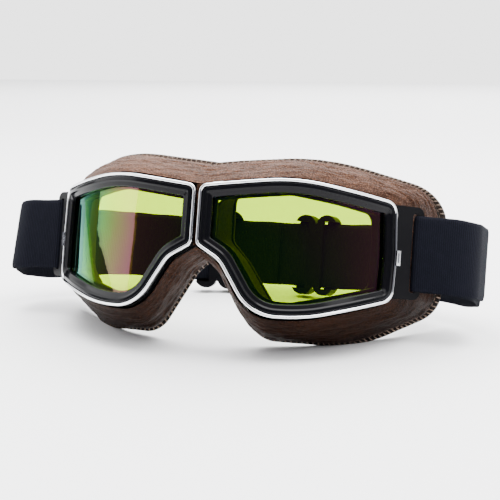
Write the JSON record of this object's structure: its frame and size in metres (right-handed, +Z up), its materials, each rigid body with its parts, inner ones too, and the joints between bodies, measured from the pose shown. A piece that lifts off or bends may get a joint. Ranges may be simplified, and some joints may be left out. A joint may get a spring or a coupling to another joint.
{
  "type": "motorcycle goggles",
  "caption": "Vintage style riding goggles: hinged chrome lens frames with tinted lenses on a padded leather face mask, held by an elastic head strap with sliding adjusters.",
  "frame": {"origin": "middle of the base of the resting goggles' bounding box", "axes": "+X across the face, to the right seen from in front; +Y from the lenses towards the wearer; +Z up; the goggles lean back 14.4 degrees as they rest"},
  "size_m": [0.2497, 0.1402, 0.0848],
  "materials": {
    "chrome_rim": "polished, mirror bright",
    "ring_black": "moulded gloss black with bevelled edges",
    "lens_yellow": "bright yellow tint, clear coat with green and violet reflections",
    "gasket_rubber": "matt",
    "shell_black": "fine moulded grain",
    "clip_chrome": "bright",
    "bracket_black": "satin black lacquer",
    "screw_steel": "plain",
    "leather_brown": "soft aged brown leather, puckered, slight sheen",
    "binding_grey": "rolled leather edge, worn grey, stitched",
    "foam_pad": "open cell foam",
    "lining_cloth": "brushed cloth",
    "eye_cloth": "smooth cloth-backed vinyl",
    "strap_elastic": "fine ribbed woven elastic",
    "strap_elastic_inner": "fine ribbed woven elastic",
    "slider_black": "moulded black",
    "hinge_steel": "plated"
  },
  "bodies": {
    "half_right": {"rim_right": "chrome_rim", "lens_ring_right": "ring_black", "lens_right": "lens_yellow", "lens_gasket_right": "gasket_rubber", "back_shell_right": "shell_black", "temple_clip_right": "clip_chrome", "strap_bracket_right": "bracket_black", "bracket_screws_right": "screw_steel", "leather_cover_right": "leather_brown", "edge_binding_right": "binding_grey", "foam_core_right": "foam_pad", "face_lining_right": "lining_cloth", "eye_lining_right": "eye_cloth", "strap_band_right": "strap_elastic", "strap_return_right": "strap_elastic_inner", "hinge_leaf_right": "hinge_steel", "hinge_pin": "hinge_steel"},
    "half_left": {"rim_left": "chrome_rim", "lens_ring_left": "ring_black", "lens_left": "lens_yellow", "lens_gasket_left": "gasket_rubber", "back_shell_left": "shell_black", "temple_clip_left": "clip_chrome", "strap_bracket_left": "bracket_black", "bracket_screws_left": "screw_steel", "leather_cover_left": "leather_brown", "edge_binding_left": "binding_grey", "foam_core_left": "foam_pad", "face_lining_left": "lining_cloth", "eye_lining_left": "eye_cloth", "strap_band_left": "strap_elastic", "strap_return_left": "strap_elastic_inner", "hinge_leaf_left": "hinge_steel"},
    "slider_right": {"strap_slider_right": "slider_black"},
    "slider_left": {"strap_slider_left": "slider_black"}
  },
  "joints": [
    {"name": "bridge_flex", "type": "hinge", "parent": "half_right", "child": "half_left", "pos_m": [0, -0.05034, 0.06198], "axis": [0, 0.2487, 0.9686], "range_deg": [-5, 4], "stiffness_Nm_per_rad": 1.2},
    {"name": "slider_right_travel", "type": "hinge", "parent": "half_right", "child": "slider_right", "pos_m": [0, -0.05034, 0.06198], "axis": [0, 0.2487, 0.9686], "range_deg": [-4.5, 4]},
    {"name": "slider_left_travel", "type": "hinge", "parent": "half_left", "child": "slider_left", "pos_m": [0, -0.05034, 0.06198], "axis": [0, 0.2487, 0.9686], "range_deg": [-4, 4.5]}
  ]
}
